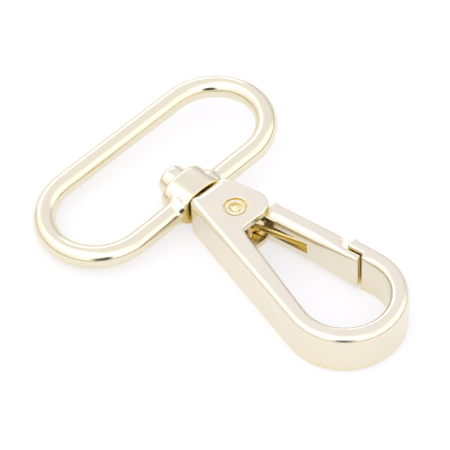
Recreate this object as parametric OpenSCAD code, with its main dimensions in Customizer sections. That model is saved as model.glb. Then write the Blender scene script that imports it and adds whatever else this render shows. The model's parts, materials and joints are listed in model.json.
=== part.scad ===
// Swivel snap hook for a 38 mm bag strap, cast zinc, shown lying flat with its gate closed.
// +Z is up, +Y runs from the hook's bow to the strap loop, and the origin is the
// bottom centre of the whole part. Sizes are in millimetres.

/* [Strap loop] */
// Diameter of the loop's round wire
wire_d = 3.6; // [3.2:0.1:3.8]
// Clear width between the loop's two round ends
strap_w = 38.4; // [36:0.2:40]
// Radius of the wire's centre line at the round ends
end_r = 8.8; // [8.4:0.1:9.2]
// Angle by which the loop leans to one side as it lies
lean = 4; // [0:0.5:4.5]

/* [Swivel] */
// Thickness of the oval boss cast onto the loop
boss_d = 6.6; // [6.2:0.1:6.8]
// Width of the oval boss, along the loop's bar
boss_w = 8.8; // [8.2:0.1:9.2]
// Length of the boss along the swivel axis
boss_len = 5.45; // [5:0.05:5.8]
// Diameter of the swivel rivet's shank
swivel_d = 3; // [2.6:0.1:3.2]
// Diameter of the swivel rivet's round head
swivel_head_d = 5; // [4.4:0.1:5.4]
// Length of the swivel rivet's head
swivel_head_len = 2.75; // [2.2:0.05:3]
// Depth of the blind hole that holds the swivel rivet
swivel_depth = 2.6; // [2.2:0.1:2.8]

/* [Hook body] */
// Thickness of the hook body
body_t = 7.5; // [7.2:0.1:8]
// Outer radius of the bow
bow_r = 9.6; // [9.4:0.05:9.8]
// Inner radius of the bow, where the load sits
seat_r = 6.75; // [6.5:0.05:6.9]
// Lean of the shank's inner wall from the hook's long axis
shank_lean = 15.5; // [15:0.1:16]
// Left end of the body's top end face, as a distance from the swivel axis
end_left = 3.35; // [3.2:0.05:3.5]
// Right end of the body's top end face, as a distance from the swivel axis
end_right = 4; // [3.8:0.1:4.2]
// Lean of the body's right wall from the hook's long axis
wall_lean = 12; // [11:0.5:13]
// Corner radius of the two ears
ear_r = 3; // [2.8:0.1:3.1]
// Thickness of each ear
ear_t = 1.2; // [1:0.1:1.3]

/* [Gate] */
// Angle between the gate and the hook's long axis
gate_lean = 9.5; // [9:0.5:10]
// Width of the gate bar, from its outer wall to its inner wall
gate_w = 3.1; // [3:0.05:3.2]
// Thickness of the gate bar
gate_t = 6.2; // [6:0.1:6.6]
// Thickness of the gate's tongue, which closes behind the nose lip
tongue_w = 1.2; // [1:0.05:1.3]
// Radius of the gate's knuckle
knuckle_r = 2.7; // [2.5:0.1:2.8]
// Radius of the hollow shoulder that clears the ears
shoulder_r = 5.45; // [5.4:0.05:5.6]
// Height of the spring channel in the gate's inner wall
channel_h = 2.2; // [2.1:0.1:2.4]
// Depth of the spring channel
channel_d = 2; // [1.8:0.1:2.1]

/* [Gate pin and spring] */
// Diameter of the gate pin
pin_d = 2.4; // [2.2:0.1:2.4]
// Diameter of the counterbore round each end of the pin
counterbore_d = 3.75; // [3.5:0.05:3.9]
// Diameter of the recess in each end of the pin
recess_d = 2.1; // [1.8:0.1:2.2]
// Diameter of the spring wire
spring_wire = 0.6; // [0.5:0.05:0.6]

/* [Hidden] */
$fn = 96;
champagne = [0.89, 0.86, 0.78];
steel = [0.72, 0.66, 0.5];

// clearances
running = 0.05;
press = 0.01;
spill = 1;
// how far a straight wall cuts into the arc that it runs into
graze = 0.02;

// heights
axis_z = body_t / 2;
gate_z = (body_t - gate_t) / 2;
slot_gap = 0.1;
channel_z = axis_z - channel_h / 2;

// loop: the centre of the stadium and its two straight bars
bow_c = [-0.2, -21];
length = 61.2;
loop_y = length / 2 - wire_d / 2 - end_r;
bar_half = strap_w / 2 + wire_d / 2 - end_r;
near_bar_y = loop_y - end_r;
boss_y = near_bar_y - wire_d / 2 - running;
boss_end_y = boss_y + boss_len;
boss_round = 0.9;
flare_r = 2.4;
flare_from = boss_w / 2 - 0.4;
flare_to = boss_w / 2 + 0.8;
head_round = 1.1;

// hook body plan
end_y = boss_y - 0.35;
pin_at = [0.5, 2.6];
ear_y = -1.3;
slot_y = 5.8;
slot_r = knuckle_r + 0.45;
slot_back = 1;
slot_inset = 0.1;
wall_dir = [sin(wall_lean), -cos(wall_lean)];
ear_c = [end_right + (end_y - ear_y - ear_r) * tan(wall_lean) - ear_r / cos(wall_lean), ear_y + ear_r];
end_corner = [-end_left, end_y];
shank_in = bow_c + (seat_r - graze) * [-cos(shank_lean), sin(shank_lean)];
shank_top = shank_in + (ear_y - shank_in.y) * [tan(shank_lean), 1];
shank_out = tangent_point(end_corner, bow_c, bow_r - graze);
mouth = 2 * bow_r;

// nose and gate, measured from the point where the nose leaves the bow:
// x outwards, y along the gate towards the pin
nose_at = bow_c + bow_r * [cos(gate_lean), sin(gate_lean)];
nose_out = -graze;
nose_in = seat_r - bow_r - graze;
nose_root = 1.5;
lip_w = 1.92;
lip_tip = 5.2;
lip_slope = 0.55;
step_y = 1.95;
step_slope = 0.35;
gate_out = -0.17;
gate_in = gate_out - gate_w;
tongue_out = gate_in + tongue_w;
gate_end = 6.3;
gate_end_slope = 0.4;
tongue_end = 2.05;
tongue_slope = 0.3;
gate_top = 19.6;
pin_local = to_local(pin_at);
neck_out = -0.9;
neck_y = 17;
channel_end = 11.1;

// pin and spring
counterbore_depth = 0.5;
recess_depth = 0.3;
head_sink = 0.12;
wire_sides = 8;
coil_r = pin_d / 2 + 0.08 + spring_wire / 2;
coil_pitch = spring_wire + 0.02;
coil_steps = 54;
anchor_len = 2.4;
leg_tip = [gate_in + channel_d - spring_wire / 2 - 0.02, channel_end + 0.5];
coil_first = 2 * 360 + 90;
coil_last = gate_lean + tangent_angle(leg_tip, pin_local, coil_r);
coil_rise = coil_pitch * (coil_first - coil_last) / 360;
leg_z = channel_z + spring_wire / 2 + 0.05;

// the angle at which a line from p touches a circle, on the circle's anticlockwise side
function tangent_angle(p, c, r) = atan2(p.y - c.y, p.x - c.x) + acos(r / norm(p - c));

function on_circle(c, r, a) = c + r * [cos(a), sin(a)];

function tangent_point(p, c, r) = on_circle(c, r, tangent_angle(p, c, r));

// a point of the plan, measured in the gate's own axes
function to_local(p) =
    let (d = p - nose_at)
    [d.x * cos(gate_lean) + d.y * sin(gate_lean), d.y * cos(gate_lean) - d.x * sin(gate_lean)];

function from_local(p) =
    nose_at + [p.x * cos(gate_lean) - p.y * sin(gate_lean), p.y * cos(gate_lean) + p.x * sin(gate_lean)];

function raised(p, z) = [p.x, p.y, z];

// children drawn in the gate's own axes
module on_gate() {
    translate([nose_at.x, nose_at.y, 0]) rotate([0, 0, gate_lean]) children();
}

// children drawn along +Z, turned to run along the swivel axis towards the loop
module on_swivel(y) {
    translate([0, y, axis_z]) rotate([-90, 0, 0]) children();
}

module slab(z, h) {
    translate([0, 0, z]) linear_extrude(h) children();
}

// one half turn of the loop's wire
module loop_end() {
    translate([bar_half, 0, 0]) rotate([0, 0, -90])
        rotate_extrude(angle = 180) translate([end_r, 0]) circle(d = wire_d);
}

module loop_bar(y) {
    translate([-bar_half, y, 0]) rotate([0, 90, 0]) cylinder(d = wire_d, h = 2 * bar_half);
}

// the wire swells where it runs into the boss
module boss_flare() {
    translate([flare_from, 0, 0]) rotate([0, 90, 0])
        cylinder(r1 = flare_r, r2 = wire_d / 2, h = flare_to - flare_from);
}

// one side of the oval boss, with a rounded edge towards the loop
module boss_side() {
    translate([boss_w / 2 - boss_d / 2, 0, 0]) rotate_extrude() {
        square([boss_d / 2, boss_len - boss_round]);
        square([boss_d / 2 - boss_round, boss_len]);
        translate([boss_d / 2 - boss_round, boss_len - boss_round]) circle(r = boss_round);
    }
}

// flat middle of the boss, between its two half round sides
module boss_middle() {
    flat = boss_w - boss_d;
    translate([-flat / 2, 0, 0]) rotate([90, 0, 90]) linear_extrude(flat) {
        translate([-boss_d / 2, 0]) square([boss_d, boss_len - boss_round]);
        translate([boss_round - boss_d / 2, 0]) square([boss_d - 2 * boss_round, boss_len]);
        for (side = [-1, 1])
            translate([side * (boss_d / 2 - boss_round), boss_len - boss_round]) circle(r = boss_round);
    }
}

module boss() {
    boss_side();
    mirror([1, 0, 0]) boss_side();
    boss_middle();
}

module strap_loop() {
    color(champagne) difference() {
        union() {
            translate([0, loop_y, axis_z]) rotate([0, -lean, 0]) {
                loop_end();
                mirror([1, 0, 0]) loop_end();
                loop_bar(end_r);
                loop_bar(-end_r);
            }
            translate([0, near_bar_y, axis_z]) rotate([0, -lean, 0]) {
                boss_flare();
                mirror([1, 0, 0]) boss_flare();
            }
            on_swivel(boss_y) rotate([0, 0, -lean]) boss();
        }
        translate([-boss_d, boss_y - spill, -spill]) cube([2 * boss_d, spill, body_t + 2 * spill]);
        on_swivel(boss_y - spill) cylinder(d = swivel_d + 2 * running, h = boss_len + 2 * spill);
    }
}

// button head outside the boss, shank through it and into the hook body
module swivel_rivet() {
    head_r = swivel_head_d / 2;
    color(champagne) union() {
        on_swivel(end_y - swivel_depth)
            cylinder(d = swivel_d, h = boss_end_y - end_y + swivel_depth + spill);
        on_swivel(boss_end_y + running) rotate_extrude() {
            square([head_r, swivel_head_len - running - head_round]);
            square([head_r - head_round, swivel_head_len - running]);
            translate([head_r - head_round, swivel_head_len - running - head_round])
                circle(r = head_round);
        }
    }
}

// plan of the bow as a disc, cut open above the nose and right of the shank
module bow_plan() {
    translate(bow_c) difference() {
        circle(r = bow_r);
        polygon(mouth * [
            [0, 0],
            [cos(gate_lean), sin(gate_lean)],
            [0, 1],
            [-cos(shank_lean), sin(shank_lean)]
        ]);
    }
}

// plan of the shank, the solid end and the ears, without the ears' round corner
module shank_plan() {
    polygon([
        bow_c - [(bow_r + seat_r) / 2, 0],
        shank_in,
        shank_top,
        [ear_c.x, ear_y],
        ear_c,
        ear_c + ear_r * [-wall_dir.y, wall_dir.x],
        [end_right, end_y],
        end_corner,
        shank_out
    ]);
}

// plan of the nose, with the lip that the gate's tongue closes behind
module nose_plan() {
    translate(nose_at) rotate(gate_lean) polygon([
        [nose_out, -nose_root],
        [nose_out, lip_tip],
        [-lip_w, lip_tip - lip_slope],
        [-lip_w, step_y],
        [nose_in, step_y - step_slope],
        [nose_in, -nose_root]
    ]);
}

module body_plan() {
    difference() {
        union() {
            bow_plan();
            shank_plan();
            translate(ear_c) circle(r = ear_r + graze);
            nose_plan();
        }
        translate(bow_c) circle(r = seat_r);
    }
}

// plan of the pocket between the ears, open to the right and to the eye
module slot_plan() {
    translate(pin_at) circle(r = slot_r);
    polygon([
        [mouth, ear_y - spill],
        [mouth, slot_y],
        [pin_at.x - slot_back, slot_y],
        [pin_at.x - slot_r + slot_inset, pin_at.y - slot_back],
        [shank_top.x, ear_y],
        [shank_top.x, ear_y - spill]
    ]);
}

module hook_body() {
    color(champagne) difference() {
        slab(0, body_t) body_plan();
        slab(ear_t, body_t - 2 * ear_t) slot_plan();
        on_swivel(end_y - swivel_depth)
            cylinder(d = swivel_d - 2 * press, h = swivel_depth + spill);
        translate([pin_at.x, pin_at.y, -spill]) cylinder(d = pin_d - 2 * press, h = body_t + 2 * spill);
        for (z = [-spill, body_t - counterbore_depth])
            translate([pin_at.x, pin_at.y, z]) cylinder(d = counterbore_d, h = counterbore_depth + spill);
    }
}

// full-thickness bar of the gate, ending in the tongue
module gate_bar_plan() {
    difference() {
        polygon([
            [gate_out, gate_end],
            [gate_out, gate_top],
            [gate_in, gate_top],
            [gate_in, tongue_end],
            [tongue_out, tongue_end + tongue_slope],
            [tongue_out, gate_end - gate_end_slope]
        ]);
        translate(pin_local) circle(r = shoulder_r);
    }
}

// thinner knuckle that runs between the ears
module knuckle_plan() {
    translate(pin_local) circle(r = knuckle_r);
    polygon([
        [gate_in, neck_y],
        [neck_out, neck_y],
        [neck_out, gate_top],
        tangent_point([neck_out, gate_top], pin_local, knuckle_r),
        pin_local,
        [gate_in, pin_local.y - 1]
    ]);
}

// pocket for the coil, open to the gate's inner side, and the channel for its leg
module spring_room_plan() {
    translate([gate_in - spill, channel_end])
        square([channel_d + spill, pin_local.y - channel_end]);
    translate(pin_local) circle(r = knuckle_r + spill / 2);
}

module gate() {
    color(champagne) on_gate() difference() {
        union() {
            slab(gate_z, gate_t) gate_bar_plan();
            slab(ear_t + slot_gap, body_t - 2 * (ear_t + slot_gap)) knuckle_plan();
        }
        slab(channel_z, channel_h) spring_room_plan();
        translate([pin_local.x, pin_local.y, 0]) cylinder(d = pin_d + 2 * running, h = body_t);
    }
}

// pin with a dished head at each end, set down in the counterbores
module gate_pin() {
    head_r = counterbore_d / 2 - running;
    head_h = counterbore_depth - head_sink;
    color(champagne) translate([pin_at.x, pin_at.y, 0]) difference() {
        union() {
            translate([0, 0, head_sink]) cylinder(d = pin_d, h = body_t - 2 * head_sink);
            translate([0, 0, head_sink]) cylinder(r = head_r, h = head_h);
            translate([0, 0, body_t - counterbore_depth]) cylinder(r = head_r, h = head_h);
        }
        translate([0, 0, head_sink - spill]) cylinder(d = recess_d, h = recess_depth + spill);
        translate([0, 0, body_t - head_sink - recess_depth]) cylinder(d = recess_d, h = recess_depth + spill);
    }
}

// a round wire swept along a path that stays near the horizontal
module wire(path, r) {
    last = len(path) - 1;
    rings = [
        for (i = [0 : last])
            let (
                d = path[min(i + 1, last)] - path[max(i - 1, 0)],
                n = cross(d, [0, 0, 1]) / norm(cross(d, [0, 0, 1])),
                b = cross(n, d) / norm(d)
            )
            for (k = [0 : wire_sides - 1])
                path[i] + r * (cos(k * 360 / wire_sides) * n + sin(k * 360 / wire_sides) * b)
    ];
    walls = [
        for (i = [0 : last - 1], k = [0 : wire_sides - 1])
            let (a = i * wire_sides + k, b = i * wire_sides + (k + 1) % wire_sides)
            [a, b, b + wire_sides, a + wire_sides]
    ];
    first_cap = [for (k = [wire_sides - 1 : -1 : 0]) k];
    last_cap = [for (k = [0 : wire_sides - 1]) last * wire_sides + k];
    polyhedron(rings, concat([first_cap], walls, [last_cap]), convexity = 6);
}

// torsion spring: close coil round the pin, one leg in the gate's channel, one against the body
module gate_spring() {
    coil = [
        for (i = [0 : coil_steps])
            let (t = i / coil_steps)
            raised(
                on_circle(pin_at, coil_r, coil_first + t * (coil_last - coil_first)),
                axis_z + coil_rise * (0.5 - t)
            )
    ];
    anchor = coil[0] - [anchor_len, 0, 0];
    color(steel) wire(concat([anchor], coil, [raised(from_local(leg_tip), leg_z)]), spring_wire / 2);
}

strap_loop();
swivel_rivet();
hook_body();
gate();
gate_pin();
gate_spring();
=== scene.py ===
"""Swivel snap hook: detailed pieces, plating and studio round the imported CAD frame.

Shapes are worked out in millimetres and degrees, in the frame's own axes, and scaled to metres
when a piece is finished. The driving sizes are the ones that the CAD model uses.
"""
import json
import math

import bmesh
import bpy
from mathutils import Matrix, Vector

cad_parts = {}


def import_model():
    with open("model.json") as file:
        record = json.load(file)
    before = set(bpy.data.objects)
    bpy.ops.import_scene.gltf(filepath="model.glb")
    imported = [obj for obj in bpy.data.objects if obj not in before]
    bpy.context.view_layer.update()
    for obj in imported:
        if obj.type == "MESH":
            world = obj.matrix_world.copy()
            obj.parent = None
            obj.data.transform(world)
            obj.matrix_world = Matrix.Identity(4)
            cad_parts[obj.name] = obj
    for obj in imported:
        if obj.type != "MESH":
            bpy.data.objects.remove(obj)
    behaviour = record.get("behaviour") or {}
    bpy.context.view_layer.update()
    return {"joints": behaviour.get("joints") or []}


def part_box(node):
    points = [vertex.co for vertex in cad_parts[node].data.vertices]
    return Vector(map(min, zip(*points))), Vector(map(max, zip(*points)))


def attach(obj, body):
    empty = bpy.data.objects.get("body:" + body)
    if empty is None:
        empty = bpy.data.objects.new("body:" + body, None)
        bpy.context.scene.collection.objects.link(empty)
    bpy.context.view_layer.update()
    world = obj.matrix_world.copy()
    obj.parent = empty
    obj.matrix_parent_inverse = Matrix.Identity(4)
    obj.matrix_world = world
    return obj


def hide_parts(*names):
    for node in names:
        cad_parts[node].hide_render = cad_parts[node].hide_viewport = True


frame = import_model()

MM = 0.001
DEG = math.radians(1)

# the frame's own places
_, loop_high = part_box("strap_loop")
_, body_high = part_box("hook_body")
BODY_T = body_high.z / MM
AXIS_Z = BODY_T / 2
HINGE = next(j for j in frame["joints"] if j["name"] == "gate_hinge")
PIN = Vector((HINGE["pos_m"][0] / MM, HINGE["pos_m"][1] / MM))

# hook body: the bow's outer and inner rounds, the lean of the shank's inner wall and the angle
# at which its outer wall leaves the bow, then the solid end and the two ears
BOW = Vector((-0.2, -21.0))
BOW_R = 9.6
SEAT_R = 6.75
SHANK_LEAN = 15.5
SHANK_OUT = 167.4
END_Y = body_high.y / MM
END_LEFT = -3.35
END_RIGHT = 4.0
END_CORNER_R = 1.15
WALL_LEAN = 12.0
EAR_R = 3.0
EAR_Y = -1.3
EAR_T = 1.2
SLOT_Y = 5.8
SLOT_GAP = 0.45

# nose and gate, measured from the point where the nose leaves the bow, x outwards, y to the pin
NOSE_IN = SEAT_R - BOW_R
LIP_IN = -1.92
GATE_LEAN = 9.5
GATE_OUT = -0.17
GATE_IN = -3.27
TONGUE_OUT = -2.07
GATE_T = 6.2
GATE_LOW = (BODY_T - GATE_T) / 2
GATE_TOP = 19.6
GATE_END = GATE_TOP - 0.3
SHOULDER_R = 5.45
KNUCKLE_R = 2.7
POCKET_R = KNUCKLE_R + 0.5
KNUCKLE_GAP = 0.1
KNUCKLE_ROOT_X = -0.9
KNUCKLE_ROOT_Y = 17.0
CHANNEL_H = 2.2
CHANNEL_D = 2.0
CHANNEL_END = 11.1

# loop and swivel
WIRE_R = 1.8
END_R = 8.8
BAR_HALF = 12.2
LEAN = 4.0
LOOP_Y = loop_high.y / MM - WIRE_R - END_R
BOSS_R = 3.3
BOSS_W = 8.8
BOSS_Y = END_Y + 0.35
BOSS_LEN = 5.45
BOSS_SQUARENESS = 2.3
FLARE_OUT = 0.9
FLARE_LEN = 1.3
FLARE_RISE = 0.8
HEAD_R = 2.5
HEAD_LEN = 2.7
SHANK_R = 1.5
SHANK_ROOT_Y = END_Y - 2.6
RUNNING_GAP = 0.05

# pin and spring
PIN_R = 1.2
BORE_R = PIN_R + RUNNING_GAP
SINK_R = 1.875
SINK_DEPTH = 0.5
SINK_EDGE = 0.16
SPRING_R = 0.3
COIL_R = 1.58
COIL_START = 2 * 360 + 90
COIL_STEPS = 132
COIL_PITCH = 1.035 * 2 * SPRING_R
ANCHOR_LEN = 2.4
LEG_ROOT_STEPS = 5

# degrees per step along arcs and round corners, how far a cutter reaches past a face, and the
# distance at which points are welded
ARC_STEP = 4
CORNER_STEP = 9
PAST = 1
WELD = 0.0005


# ---------------------------------------------------------------- plan outlines

def polar(centre, radius, angle):
    return centre + radius * Vector((math.cos(angle * DEG), math.sin(angle * DEG)))


def arc(centre, radius, start, end, fillet, swell=0.0):
    """Points of an arc as outline corners: (place, corner radius, edge fillet). The fillet may
    swell towards the middle of the arc."""
    steps = max(2, round(abs(end - start) / ARC_STEP))
    return [
        (
            polar(centre, radius, start + (end - start) * i / steps),
            0,
            fillet + swell * math.sin(math.pi * i / steps) ** 2,
        )
        for i in range(steps + 1)
    ]


NOSE = polar(BOW, BOW_R, GATE_LEAN)


def from_gate(x, y):
    """A point given in the gate's own axes: x outwards, y along the gate to the pin."""
    turn = Matrix.Rotation(GATE_LEAN * DEG, 2)
    return NOSE + turn @ Vector((x, y))


def to_gate(p):
    return Matrix.Rotation(-GATE_LEAN * DEG, 2) @ (p - NOSE)


PIN_IN_GATE = to_gate(PIN)


def rounded(corners):
    """Replaces each corner that has a radius by an arc between its two edges."""
    out = []
    for i, (p, radius, fillet) in enumerate(corners):
        if not radius:
            out.append((p, fillet))
            continue
        before = (corners[i - 1][0] - p).normalized()
        after = (corners[(i + 1) % len(corners)][0] - p).normalized()
        half = before.angle(after) / 2
        centre = p + (before + after).normalized() * radius / math.sin(half)
        start = p + before * radius / math.tan(half) - centre
        turn = before.angle_signed(after)
        sweep = (math.pi - abs(turn)) * (1 if turn > 0 else -1)
        steps = max(3, round(abs(sweep) / DEG / CORNER_STEP))
        for k in range(steps + 1):
            spin = Matrix.Rotation(sweep * k / steps, 2)
            out.append((centre + spin @ start, fillet))
    return out


def divided(points, longest):
    """Splits long edges, so that a fillet can change along them."""
    out = []
    for (p, a), (q, b) in zip(points, points[1:] + points[:1]):
        pieces = max(1, math.ceil((q - p).length / longest))
        for k in range(pieces):
            t = k / pieces
            out.append((p.lerp(q, t), a + (b - a) * t))
    return out


def miters(points):
    """For each point, how it moves when the outline shrinks by one millimetre."""
    out = []
    for i, (p, _) in enumerate(points):
        before = (p - points[i - 1][0]).normalized()
        after = (points[(i + 1) % len(points)][0] - p).normalized()
        n1, n2 = Vector((-before.y, before.x)), Vector((-after.y, after.x))
        out.append((n1 + n2) / max(0.3, 1 + n1.dot(n2)))
    return out


# ---------------------------------------------------------------- mesh helpers

def make(name, verts, faces):
    mesh = bpy.data.meshes.new(name)
    mesh.from_pydata([tuple(v) for v in verts], [], faces)
    obj = bpy.data.objects.new(name, mesh)
    bpy.context.scene.collection.objects.link(obj)
    return obj


def rounded_slab(name, corners, low, high, low_share=0.7, longest=0.8, rings=8):
    """A slab between two heights. Each outline corner's fillet rounds the top edge there, and
    low_share of it rounds the bottom edge."""
    points = divided(rounded(corners), longest)
    moves = miters(points)
    count = len(points)
    verts, faces = [], []
    for k in range(2 * rings + 2):
        top = k > rings
        angle = math.pi / 2 * ((k - rings - 1) if top else (rings - k)) / rings
        for (p, fillet), move in zip(points, moves):
            r = fillet if top else fillet * low_share
            inner = p + move * r * (1 - math.cos(angle))
            lift = r - r * math.sin(angle)
            verts.append((inner.x, inner.y, high - lift if top else low + lift))
    for k in range(2 * rings + 1):
        for i in range(count):
            a, b = k * count + i, k * count + (i + 1) % count
            faces.append((a, b, b + count, a + count))
    faces.append(tuple(range(count - 1, -1, -1)))
    faces.append(tuple(range((2 * rings + 1) * count, (2 * rings + 2) * count)))
    return make(name, verts, faces)


def turned(name, profile, segments=72, wobble=None):
    """A solid turned round Z from a profile of (radius, height) that starts and ends on the
    axis. The wobble, if any, shifts each point's radius and height."""
    verts, faces = [(0, 0, profile[0][1])], []
    body = profile[1:-1]
    for r, z in body:
        for s in range(segments):
            a = 2 * math.pi * s / segments
            dr, dz = wobble(r, z, a) if wobble else (0, 0)
            verts.append(((r + dr) * math.cos(a), (r + dr) * math.sin(a), z + dz))
    verts.append((0, 0, profile[-1][1]))
    last = len(verts) - 1
    for s in range(segments):
        t = (s + 1) % segments
        faces.append((0, 1 + t, 1 + s))
        for k in range(len(body) - 1):
            a, b = 1 + k * segments, 1 + (k + 1) * segments
            faces.append((a + s, a + t, b + t, b + s))
        a = 1 + (len(body) - 1) * segments
        faces.append((a + s, a + t, last))
    return make(name, verts, faces)


def tube(name, path, radius, sides=32, closed=False):
    """A round tube along points that stay near a plane; radius is a number or one per point."""
    count = len(path)
    verts, faces = [], []
    for i, p in enumerate(path):
        before = path[i - 1] if closed or i else p
        after = path[(i + 1) % count] if closed or i < count - 1 else p
        along = (after - before).normalized()
        side = along.cross(Vector((0, 0, 1))).normalized()
        up = side.cross(along)
        r = radius[i] if isinstance(radius, list) else radius
        for k in range(sides):
            a = 2 * math.pi * k / sides
            verts.append(p + r * (math.cos(a) * side + math.sin(a) * up))
    for i in range(count if closed else count - 1):
        a, b = i * sides, (i + 1) % count * sides
        for k in range(sides):
            t = (k + 1) % sides
            faces.append((a + k, b + k, b + t, a + t))
    if not closed:
        faces.append(tuple(range(sides)))
        faces.append(tuple(range(count * sides - 1, (count - 1) * sides - 1, -1)))
    return make(name, verts, faces)


def place(obj, matrix):
    obj.data.transform(matrix)
    return obj


def combine(obj, operation, *tools):
    """Applies exact booleans one after another and removes the tools."""
    for tool in tools:
        cut = obj.modifiers.new("cut", "BOOLEAN")
        cut.operation, cut.solver, cut.object = operation, "EXACT", tool
        bpy.context.view_layer.update()
        ready = obj.evaluated_get(bpy.context.evaluated_depsgraph_get())
        mesh = bpy.data.meshes.new_from_object(ready)
        obj.modifiers.clear()
        obj.data = mesh
        bpy.data.objects.remove(tool)
    return obj


def finished(obj, body, node, material, sharp=32):
    """Cleans a piece, smooths its shading but for creases beyond the sharp angle, and hands it
    to the frame."""
    bm = bmesh.new()
    bm.from_mesh(obj.data)
    bmesh.ops.remove_doubles(bm, verts=bm.verts, dist=WELD)
    bmesh.ops.dissolve_degenerate(bm, edges=bm.edges, dist=WELD)
    bmesh.ops.recalc_face_normals(bm, faces=bm.faces)
    for face in bm.faces:
        face.smooth = True
    for edge in bm.edges:
        edge.smooth = len(edge.link_faces) == 2 and edge.calc_face_angle(0) < sharp * DEG
    bmesh.ops.scale(bm, vec=Vector((MM, MM, MM)), verts=bm.verts)
    bm.to_mesh(obj.data)
    bm.free()
    obj.data.materials.clear()
    obj.data.materials.append(material)
    weighted = obj.modifiers.new("normals", "WEIGHTED_NORMAL")
    weighted.keep_sharp = True
    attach(obj, body)
    if node:
        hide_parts(node)
    return obj


# ---------------------------------------------------------------- cutters

def drill(radius, low, high, segments=72):
    return turned("drill", [(0, low), (radius, low), (radius, high), (0, high)], segments)


def flared_drill(radius, low, high, edge):
    """A drill whose mouth opens in a small round, to break the edge of its hole."""
    steps = 5
    mouth = []
    for k in range(steps + 1):
        a = math.pi / 2 * k / steps * 0.97
        mouth.append((radius + edge * (1 - math.cos(a)), high - edge + edge * math.sin(a)))
    wide = mouth[-1][0]
    top = high + PAST
    return turned("drill", [(0, low), (radius, low), *mouth, (wide, top), (0, top)])


def block(low, high):
    x0, y0, z0 = low
    x1, y1, z1 = high
    verts = [(x, y, z) for z in (z0, z1) for x, y in ((x0, y0), (x1, y0), (x1, y1), (x0, y1))]
    faces = [(3, 2, 1, 0), (4, 5, 6, 7), (0, 1, 5, 4), (1, 2, 6, 5), (2, 3, 7, 6), (3, 0, 4, 7)]
    return make("block", verts, faces)


def prism(points, low, high):
    """A sharp-edged slab over a plain outline."""
    corners = [(p, 0, 0.0) for p in points]
    return rounded_slab("prism", corners, low, high, longest=math.inf, rings=1)


def along_swivel(obj, y):
    """Turns a piece made round Z to lie on the swivel axis, with its top towards the loop."""
    turn = Matrix.Rotation(-math.pi / 2, 4, "X")
    return place(obj, Matrix.Translation((0, y, AXIS_Z)) @ turn)


def on_gate(obj):
    """Brings a piece made in the gate's own axes to its closed place."""
    turn = Matrix.Rotation(GATE_LEAN * DEG, 4, "Z")
    return place(obj, Matrix.Translation((NOSE.x, NOSE.y, 0)) @ turn)


# ---------------------------------------------------------------- materials

def plating(name, colour, rough, peel, grain):
    """Polished pale-gold plating: a soft waviness from the casting (peel, in millimetres), a fine
    grain (also in millimetres), handling marks that dull and tint it in patches, and painted
    shade
    in the recesses: a deeper gold where ambient occlusion is low, for the shade and gold-tinted
    reflections there."""
    material = bpy.data.materials.new(name)
    material.use_nodes = True
    nodes, links = material.node_tree.nodes, material.node_tree.links
    shader = nodes["Principled BSDF"]
    shader.inputs["Metallic"].default_value = 1
    where = nodes.new("ShaderNodeTexCoord")

    patches = nodes.new("ShaderNodeTexNoise")
    patches.inputs["Scale"].default_value = 260
    patches.inputs["Detail"].default_value = 4
    links.new(where.outputs["Object"], patches.inputs["Vector"])

    # painted shade: where ambient occlusion finds a recess, the base colour turns a deeper gold,
    # standing in for the shade and gold-tinted reflections that gather there
    painted_shade_occlusion = nodes.new("ShaderNodeAmbientOcclusion")
    painted_shade_occlusion.inputs["Distance"].default_value = 3 * MM
    painted_shade_occlusion.samples = 8
    painted_shade_amount = nodes.new("ShaderNodeMapRange")
    painted_shade_amount.inputs["From Min"].default_value = 0.35
    painted_shade_amount.inputs["From Max"].default_value = 0.85
    painted_shade_amount.inputs["To Min"].default_value = 1
    painted_shade_amount.inputs["To Max"].default_value = 0
    links.new(painted_shade_occlusion.outputs["AO"], painted_shade_amount.inputs["Value"])
    painted_shade_gold_mix = nodes.new("ShaderNodeMix")
    painted_shade_gold_mix.data_type = "RGBA"
    painted_shade_gold_mix.inputs["B"].default_value = (*PAINTED_SHADE_GOLD, 1)
    links.new(painted_shade_amount.outputs["Result"], painted_shade_gold_mix.inputs["Factor"])

    tint = nodes.new("ShaderNodeMix")
    tint.data_type = "RGBA"
    tint.inputs["A"].default_value = (*colour, 1)
    tint.inputs["B"].default_value = (*[c * t for c, t in zip(colour, WORN_TINT)], 1)
    links.new(patches.outputs["Fac"], tint.inputs["Factor"])
    links.new(tint.outputs["Result"], painted_shade_gold_mix.inputs["A"])
    links.new(painted_shade_gold_mix.outputs["Result"], shader.inputs["Base Color"])

    gloss = nodes.new("ShaderNodeMapRange")
    gloss.inputs["From Min"].default_value = 0.3
    gloss.inputs["From Max"].default_value = 0.7
    gloss.inputs["To Min"].default_value = rough * 0.8
    gloss.inputs["To Max"].default_value = rough * 1.25
    links.new(patches.outputs["Fac"], gloss.inputs["Value"])
    links.new(gloss.outputs["Result"], shader.inputs["Roughness"])

    waves = nodes.new("ShaderNodeTexNoise")
    waves.inputs["Scale"].default_value = 420
    waves.inputs["Detail"].default_value = 1
    links.new(where.outputs["Object"], waves.inputs["Vector"])
    specks = nodes.new("ShaderNodeTexNoise")
    specks.inputs["Scale"].default_value = 5200
    specks.inputs["Detail"].default_value = 2
    links.new(where.outputs["Object"], specks.inputs["Vector"])

    wavy = nodes.new("ShaderNodeBump")
    wavy.inputs["Distance"].default_value = peel * MM
    wavy.inputs["Strength"].default_value = 1
    links.new(waves.outputs["Fac"], wavy.inputs["Height"])
    grainy = nodes.new("ShaderNodeBump")
    grainy.inputs["Distance"].default_value = grain * MM
    grainy.inputs["Strength"].default_value = 1
    links.new(specks.outputs["Fac"], grainy.inputs["Height"])
    links.new(wavy.outputs["Normal"], grainy.inputs["Normal"])
    links.new(grainy.outputs["Normal"], shader.inputs["Normal"])
    return material


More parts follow.
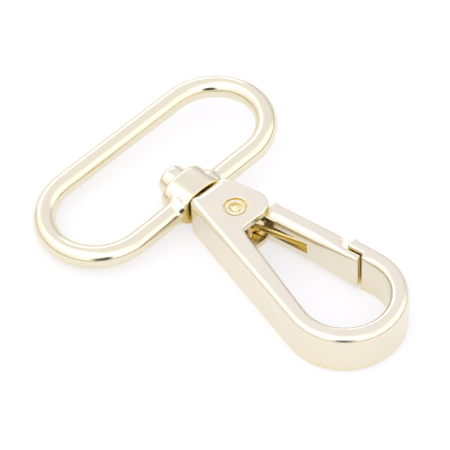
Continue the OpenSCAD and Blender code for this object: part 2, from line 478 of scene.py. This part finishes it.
GOLD = (0.85, 0.79, 0.655)
LOOP_GOLD = (0.84, 0.78, 0.61)
# colour of the painted shade in recesses, a deeper gold
PAINTED_SHADE_GOLD = (0.85, 0.73, 0.4)
WIRE_GOLD = (0.95, 0.78, 0.4)
WORN_TINT = (0.985, 0.97, 0.93)
loop_metal = plating("loop_plating", LOOP_GOLD, rough=0.17, peel=0.014, grain=0.0002)
body_metal = plating("body_plating", GOLD, rough=0.23, peel=0.004, grain=0.0003)
gate_metal = plating("gate_plating", GOLD, rough=0.18, peel=0.004, grain=0.0003)
rivet_metal = plating("rivet_plating", GOLD, rough=0.14, peel=0.01, grain=0.0002)
spring_metal = plating("spring_steel", WIRE_GOLD, rough=0.26, peel=0.004, grain=0.0005)


# ---------------------------------------------------------------- strap loop

def loop_path():
    """Centre line of the wire, anticlockwise from the middle of the near bar. The near bar is
    divided finely, because the wire flares there."""
    bar = [Vector((BAR_HALF * i / 24, -END_R, 0)) for i in range(24)]
    right = Vector((BAR_HALF, 0))
    end = [polar(right, END_R, -90 + 180 * i / 48).to_3d() for i in range(49)]
    top = [Vector((BAR_HALF * (1 - i / 4), END_R, 0)) for i in range(1, 4)]
    half = bar + end + top
    other = [Vector((-p.x, p.y, 0)) for p in reversed(half[1:])]
    return half + [Vector((0, END_R, 0))] + other


def flare(p):
    """Radius of the wire, which ends in a hollow fillet where it runs into the boss."""
    if p.y > 0:
        return WIRE_R
    t = min(1, max(0, (BOSS_W / 2 + FLARE_OUT - abs(p.x)) / FLARE_LEN))
    return WIRE_R + FLARE_RISE * (1 - math.sqrt(1 - t * t))


def oval(half_w, half_h, fillet):
    """Outline of the boss: an ellipse that is slightly squared."""
    power = 2 / BOSS_SQUARENESS
    out = []
    for a in range(0, 360, ARC_STEP):
        c, s = math.cos(a * DEG), math.sin(a * DEG)
        x = math.copysign(abs(c) ** power, c)
        y = math.copysign(abs(s) ** power, s)
        out.append((Vector((half_w * x, half_h * y)), 0, fillet))
    return out


def quarter(centre_r, centre_z, radius, start, end, steps=6):
    """Points of a rounded edge in a turned profile, between two angles in degrees."""
    out = []
    for k in range(steps + 1):
        a = (start + (end - start) * k / steps) * DEG
        out.append((centre_r + radius * math.cos(a), centre_z + radius * math.sin(a)))
    return out


def strap_loop():
    path = loop_path()
    wire = tube("strap_loop_shape", path, [flare(p) for p in path], sides=48, closed=True)
    lean = Matrix.Rotation(-LEAN * DEG, 4, "Y")
    place(wire, Matrix.Translation((0, LOOP_Y, AXIS_Z)) @ lean)
    outline = oval(BOSS_W / 2, BOSS_R, 1.0)
    boss = rounded_slab("boss", outline, 0, BOSS_LEN, low_share=0.35, longest=1.2, rings=10)
    along_swivel(boss, BOSS_Y)
    middle = Matrix.Translation((0, 0, AXIS_Z))
    place(boss, middle @ lean @ middle.inverted())
    combine(wire, "UNION", boss)
    trim = block((-BOSS_W, BOSS_Y - 3, -PAST), (BOSS_W, BOSS_Y, BODY_T + PAST))
    bore = along_swivel(drill(SHANK_R + RUNNING_GAP, -PAST, BOSS_LEN + PAST), BOSS_Y)
    combine(wire, "DIFFERENCE", trim, bore)
    return finished(wire, "loop", "strap_loop", loop_metal)


# ---------------------------------------------------------------- swivel rivet

def swivel_rivet():
    face = BOSS_Y + BOSS_LEN + RUNNING_GAP - SHANK_ROOT_Y
    root, edge, rim = 0.3, 0.25, 1.0
    tip = face + HEAD_LEN
    shape = turned("swivel_rivet_shape", [
        (0, 0),
        *quarter(SHANK_R - root, root, root, -90, 0, 3),
        (SHANK_R, face),
        (HEAD_R - edge - 0.1, face),
        *quarter(HEAD_R - edge, face + edge, edge, -60, 0, 4),
        *quarter(HEAD_R - rim, tip - rim - 0.12, rim, 0, 80, 9),
        (0.7, tip - 0.04),
        (0, tip),
    ])
    along_swivel(shape, SHANK_ROOT_Y)
    return finished(shape, "hook", "swivel_rivet", rivet_metal)


# ---------------------------------------------------------------- hook body

def shank_inner_wall():
    """The lower and upper ends of the shank's straight inner wall."""
    low = polar(BOW, SEAT_R, 180 - SHANK_LEAN)
    rise = EAR_Y - low.y
    return low, low + Vector((rise * math.tan(SHANK_LEAN * DEG), rise))


def body_corners():
    """Plan of the body from the end's left corner, anticlockwise, with its edge fillets."""
    wall = Vector((math.sin(WALL_LEAN * DEG), -math.cos(WALL_LEAN * DEG)))
    right_x = END_RIGHT + (END_Y - EAR_Y - EAR_R) * math.tan(WALL_LEAN * DEG)
    ear = Vector((right_x - EAR_R / math.cos(WALL_LEAN * DEG), EAR_Y + EAR_R))
    inner, inner_top = shank_inner_wall()
    outer = polar(BOW, BOW_R, SHANK_OUT)
    left = Vector((END_LEFT, END_Y))
    right = Vector((END_RIGHT, END_Y))
    near_left = left.lerp(outer, 0.12)
    near_right = right + wall * 2.2
    return [
        (left, END_CORNER_R, 1.1),
        (near_left, 0, 1.1),
        *arc(BOW, BOW_R, SHANK_OUT, 360 + GATE_LEAN, 1.1, 0.35),
        (from_gate(0, 4.0), 0, 0.8),
        (from_gate(0, 5.2), 0.75, 0.5),
        (from_gate(LIP_IN, 4.65), 0.45, 0.4),
        (from_gate(LIP_IN, 3.6), 0, 0.5),
        (from_gate(LIP_IN, 1.95), 0, 0.45),
        (from_gate(NOSE_IN, 1.6), 0.5, 0.45),
        (from_gate(NOSE_IN, 0.6), 0, 0.8),
        *arc(BOW, SEAT_R, 360 + GATE_LEAN, 180 - SHANK_LEAN, 0.95),
        (inner.lerp(inner_top, 0.9), 0, 0.8),
        (inner_top, 0, 0.4),
        (Vector((0.5, EAR_Y)), 0, 0.4),
        *arc(ear, EAR_R, -90, -30, 0.4),
        *arc(ear, EAR_R, -20, WALL_LEAN, 0.5),
        (near_right, 0, 0.75),
        (right, END_CORNER_R, 1.1),
        (Vector((2.4, END_Y)), 0, 1.55),
        (Vector((-1.8, END_Y)), 0, 1.55),
    ]


def slot_outline():
    """Outline of the pocket between the ears."""
    back = [polar(PIN, KNUCKLE_R + SLOT_GAP, a) for a in range(100, 201, 10)]
    _, corner = shank_inner_wall()
    outside = 12
    return [
        Vector((outside, EAR_Y - PAST)),
        Vector((outside, SLOT_Y)),
        Vector((PIN.x - 0.3, SLOT_Y)),
        *back,
        corner,
        Vector((corner.x, EAR_Y - PAST)),
    ]


def hook_body():
    shape = rounded_slab("hook_body_shape", body_corners(), 0, BODY_T)
    slot = prism(slot_outline(), EAR_T, BODY_T - EAR_T)
    pin_bore = drill(PIN_R, -PAST, BODY_T + PAST)
    upper = flared_drill(SINK_R, BODY_T - SINK_DEPTH, BODY_T, SINK_EDGE)
    lower = flared_drill(SINK_R, BODY_T - SINK_DEPTH, BODY_T, SINK_EDGE)
    place(lower, Matrix.Translation((0, 0, BODY_T)) @ Matrix.Rotation(math.pi, 4, "X"))
    for tool in (pin_bore, upper, lower):
        place(tool, Matrix.Translation((PIN.x, PIN.y, 0)))
    swivel_bore = along_swivel(drill(SHANK_R, -RUNNING_GAP, 4), SHANK_ROOT_Y)
    combine(shape, "DIFFERENCE", slot, pin_bore, upper, lower, swivel_bore)
    return finished(shape, "hook", "hook_body", body_metal)


# ---------------------------------------------------------------- gate

def gate_corners():
    """Plan of the bar and its tongue from the outer lower corner, anticlockwise."""
    return [(Vector(p), radius, fillet) for p, radius, fillet in [
        ((GATE_OUT, 6.3), 0.9, 0.85),
        ((GATE_OUT, 8.0), 0, 0.7),
        ((GATE_OUT, GATE_TOP - 1.5), 0, 0.7),
        ((GATE_OUT, GATE_END), 0.6, 0.35),
        ((GATE_IN, GATE_END), 0, 0.35),
        ((GATE_IN, GATE_TOP - 1.5), 0, 1.6),
        ((GATE_IN, 9.5), 0, 1.5),
        ((GATE_IN, 6.2), 0, 0.85),
        ((GATE_IN, 4.0), 0, 0.75),
        ((GATE_IN, 1.87), 0.35, 0.3),
        ((TONGUE_OUT, 2.17), 0.35, 0.2),
        ((TONGUE_OUT, 3.2), 0, 0.22),
        ((TONGUE_OUT, 5.85), 0, 0.2),
        ((-1.75, 5.95), 0, 0.35),
        ((-1.3, 6.05), 0, 0.8),
    ]]


def knuckle_corners():
    """Plan of the knuckle round the pin and of the root that joins it to the bar."""
    c = PIN_IN_GATE
    rim = [(polar(c, KNUCKLE_R, a), 0, 0.25) for a in range(20, 310, 6)]
    return [
        (Vector((GATE_IN, KNUCKLE_ROOT_Y)), 0, 0.1),
        (Vector((KNUCKLE_ROOT_X, KNUCKLE_ROOT_Y)), 0, 0.1),
        (Vector((KNUCKLE_ROOT_X, GATE_TOP)), 0, 0.25),
        *rim,
        (Vector((GATE_IN, c.y - 2.06)), 0, 0.25),
    ]


def gate():
    """The bar and its knuckle are joined, then cut for the spring and the pin."""
    at_pin = Matrix.Translation((PIN_IN_GATE.x, PIN_IN_GATE.y, 0))
    gate_high = GATE_LOW + GATE_T
    shape = rounded_slab("gate_shape", gate_corners(), GATE_LOW, gate_high, low_share=0.8)
    shoulder = place(drill(SHOULDER_R, -PAST, BODY_T + PAST, 144), at_pin)
    combine(shape, "DIFFERENCE", shoulder)
    low, high = EAR_T + KNUCKLE_GAP, BODY_T - EAR_T - KNUCKLE_GAP
    knuckle = rounded_slab("knuckle", knuckle_corners(), low, high, 1, longest=2, rings=3)
    combine(shape, "UNION", knuckle)
    low, high = AXIS_Z - CHANNEL_H / 2, AXIS_Z + CHANNEL_H / 2
    channel_foot = (GATE_IN - PAST, CHANNEL_END, low)
    channel = block(channel_foot, (GATE_IN + CHANNEL_D, PIN_IN_GATE.y, high))
    pocket = drill(POCKET_R, low, high)
    bore = drill(BORE_R, 0, BODY_T)
    for tool in (pocket, bore):
        place(tool, at_pin)
    combine(shape, "DIFFERENCE", channel, pocket, bore)
    on_gate(shape)
    return finished(shape, "gate", "gate", gate_metal)


# ---------------------------------------------------------------- gate pin

def clinch(r, z, a):
    """Three punched dents, 0.2 mm deep, round the raised middle of the dish."""
    dent = max(0.0, math.cos(3 * (a - 100 * DEG)) - 0.7) * 3.3
    middle = math.exp(-(((r - 0.5) / 0.22) ** 2))
    side = 1 if z > AXIS_Z else -1
    return 0, -0.2 * side * dent * middle


def gate_pin():
    """Both heads are the same: a rounded rim round a dish with a raised middle."""
    top = [
        (PIN_R, BODY_T - SINK_DEPTH),
        (1.6, BODY_T - SINK_DEPTH),
        *quarter(1.35, BODY_T - 0.33, 0.25, 0, 90, 6),
        *quarter(1.2, BODY_T - 0.22, 0.14, 90, 170, 4),
        (1.02, BODY_T - 0.5),
        (0.92, BODY_T - 0.66),
        (0.76, BODY_T - 0.66),
        (0.64, BODY_T - 0.46),
        (0.5, BODY_T - 0.32),
        (0.25, BODY_T - 0.25),
        (0, BODY_T - 0.24),
    ]
    bottom = [(r, BODY_T - z) for r, z in reversed(top)]
    shape = turned("gate_pin_shape", bottom + top, wobble=clinch)
    place(shape, Matrix.Translation((PIN.x, PIN.y, 0)))
    return finished(shape, "hook", "gate_pin", rivet_metal, sharp=50)


# ---------------------------------------------------------------- gate spring

def spring():
    """The coil and its anchor leg stay with the body; the long leg moves with the gate."""
    tip = Vector((GATE_IN + CHANNEL_D - SPRING_R - 0.02, CHANNEL_END + 0.5))
    to_tip = tip - PIN_IN_GATE
    # the coil ends where the straight leg leaves it at a tangent
    tangent = math.atan2(to_tip.y, to_tip.x) + math.acos(COIL_R / to_tip.length)
    last = GATE_LEAN + math.degrees(tangent)
    rise = COIL_PITCH * (COIL_START - last) / 360
    coil = []
    for i in range(COIL_STEPS + 1):
        t = i / COIL_STEPS
        p = polar(PIN, COIL_R, COIL_START + (last - COIL_START) * t)
        coil.append(Vector((p.x, p.y, AXIS_Z + rise * (0.5 - t))))
    anchor = [coil[0] - Vector((ANCHOR_LEN * k / 4, 0, 0)) for k in range(4, 0, -1)]
    turns = tube("gate_spring_coil", anchor + coil, SPRING_R, sides=20)
    finished(turns, "hook", "gate_spring", spring_metal)
    end = from_gate(*tip)
    seat = AXIS_Z - CHANNEL_H / 2 + SPRING_R + 0.05
    # the leg's root lies in the coil's last 30 degrees, and still meets it when the gate is open
    root = coil[-1 - LEG_ROOT_STEPS:-1]
    leg = [coil[-1].lerp(Vector((end.x, end.y, seat)), k / 8) for k in range(9)]
    radii = [SPRING_R - 0.01] * len(root) + [SPRING_R] * len(leg)
    arm = tube("gate_spring_leg", root + leg, radii, sides=20)
    finished(arm, "gate", None, spring_metal)


strap_loop()
swivel_rivet()
hook_body()
gate()
gate_pin()
spring()


# ---------------------------------------------------------------- studio

def floor():
    """A pale table lit from below, so that the shadows on it stay faint and cool."""
    bpy.ops.mesh.primitive_plane_add(size=6, location=(0, 0, -0.00002))
    plane = bpy.context.object
    plane.name = "floor"
    material = bpy.data.materials.new("floor")
    material.use_nodes = True
    shader = material.node_tree.nodes["Principled BSDF"]
    shader.inputs["Base Color"].default_value = (0.4, 0.39, 0.37, 1)
    shader.inputs["Roughness"].default_value = 0.75
    shader.inputs["Specular IOR Level"].default_value = 0
    shader.inputs["Emission Color"].default_value = (0.92, 0.93, 1, 1)
    shader.inputs["Emission Strength"].default_value = 0.62
    plane.data.materials.append(material)


def world():
    """A white room. Each of its sides has its own brightness by height: pale behind with a bright
    strip, tall white banks on the left and in front over an amber edge, and one dark stand."""
    sky = (1, 1, 1.1)
    neutral = (1, 1, 1.02)
    amber = (1, 0.84, 0.45)
    stand_way = Vector((-0.66, -0.66, 0.34)).normalized()
    room = bpy.data.worlds.new("room")
    bpy.context.scene.world = room
    room.use_nodes = True
    nodes, links = room.node_tree.nodes, room.node_tree.links
    where = nodes.new("ShaderNodeTexCoord")
    split = nodes.new("ShaderNodeSeparateXYZ")
    links.new(where.outputs["Generated"], split.inputs[0])

    def side(stops):
        """Colour by height, from stops of (height, brightness, tint)."""
        ramp = nodes.new("ShaderNodeValToRGB")
        links.new(split.outputs["Z"], ramp.inputs["Fac"])
        for _ in stops[2:]:
            ramp.color_ramp.elements.new(0.5)
        for element, (height, value, tint) in zip(ramp.color_ramp.elements, stops):
            element.position = height
            element.color = (*[value * t for t in tint], 1)
        return ramp.outputs["Color"]

    def between(value, start, full):
        """A smooth share of 0 to 1 as the value goes from start to full."""
        reach = nodes.new("ShaderNodeMapRange")
        reach.interpolation_type = "SMOOTHSTEP"
        reach.inputs["From Min"].default_value = start
        reach.inputs["From Max"].default_value = full
        links.new(value, reach.inputs["Value"])
        return reach.outputs["Result"]

    def towards(axis, start, full):
        return between(split.outputs[axis], start, full)

    def blend(a, b, share):
        mix = nodes.new("ShaderNodeMix")
        mix.data_type = "RGBA"
        links.new(share, mix.inputs["Factor"])
        links.new(a, mix.inputs["A"])
        links.new(b, mix.inputs["B"])
        return mix.outputs["Result"]

    back = side([(0, 0.5, amber), (0.1, 0.68, sky), (0.3, 0.86, sky), (0.55, 0.98, sky),
                 (0.8, 0.99, sky), (1, 1.02, sky)])
    strip = side([(0, 0.92, sky), (0.3, 0.97, sky), (0.36, 1.9, sky), (0.55, 1.9, sky),
                  (0.64, 0.99, sky), (1, 1.0, sky)])
    left = side([(0, 0.3, amber), (0.08, 0.45, amber), (0.13, 1.1, neutral), (0.5, 1.15, neutral),
                 (0.68, 1.7, neutral), (0.95, 1.7, neutral), (0.99, 1.0, neutral)])
    front = side([(0, 0.25, amber), (0.1, 0.4, amber), (0.16, 1.4, neutral), (0.7, 1.5, neutral),
                  (0.8, 1.05, neutral), (1, 1.0, neutral)])
    room_light = blend(back, strip, towards("Y", 0.55, 0.62))
    room_light = blend(room_light, left, towards("X", -0.02, -0.12))
    room_light = blend(room_light, front, towards("Y", -0.05, -0.3))
    facing = nodes.new("ShaderNodeVectorMath")
    facing.operation = "DOT_PRODUCT"
    facing.inputs[1].default_value = stand_way
    links.new(where.outputs["Generated"], facing.inputs[0])
    stand = side([(0, 0.04, neutral), (1, 0.04, neutral)])
    room_light = blend(room_light, stand, between(facing.outputs["Value"], 0.955, 0.98))
    links.new(room_light, nodes["Background"].inputs["Color"])


def softbox(name, position, size, power, target=(0, 0, 0)):
    data = bpy.data.lights.new(name, "AREA")
    data.shape = "RECTANGLE"
    data.size, data.size_y = size
    data.energy = power
    lamp = bpy.data.objects.new(name, data)
    bpy.context.scene.collection.objects.link(lamp)
    lamp.location = position
    lamp.rotation_euler = (Vector(target) - Vector(position)).to_track_quat("-Z", "Y").to_euler()


def camera():
    """Looks down at the part from the side of its shank, from beyond the bow."""
    azimuth, elevation, roll = -42.174, 47.191, -2.905
    target, distance, lens = Vector((1.336, 6.11, 0)) * MM, 0.320936, 163.9
    a, e, r = azimuth * DEG, elevation * DEG, roll * DEG
    back = Vector((math.sin(a) * math.cos(e), -math.cos(a) * math.cos(e), math.sin(e)))
    right = Vector((math.cos(a), math.sin(a), 0))
    up = back.cross(right)
    x = math.cos(r) * right + math.sin(r) * up
    y = -math.sin(r) * right + math.cos(r) * up
    data = bpy.data.cameras.new("camera")
    data.lens, data.sensor_width = lens, 36
    data.clip_start, data.clip_end = 0.01, 20
    eye = bpy.data.objects.new("camera", data)
    bpy.context.scene.collection.objects.link(eye)
    turn = Matrix((x, y, back)).transposed().to_4x4()
    eye.matrix_world = Matrix.Translation(target + back * distance) @ turn
    bpy.context.scene.camera = eye


floor()
world()
softbox("key", (-0.28, -0.32, 0.62), (0.6, 0.5), 0.5)
camera()
bpy.context.scene.view_settings.view_transform = "Standard"
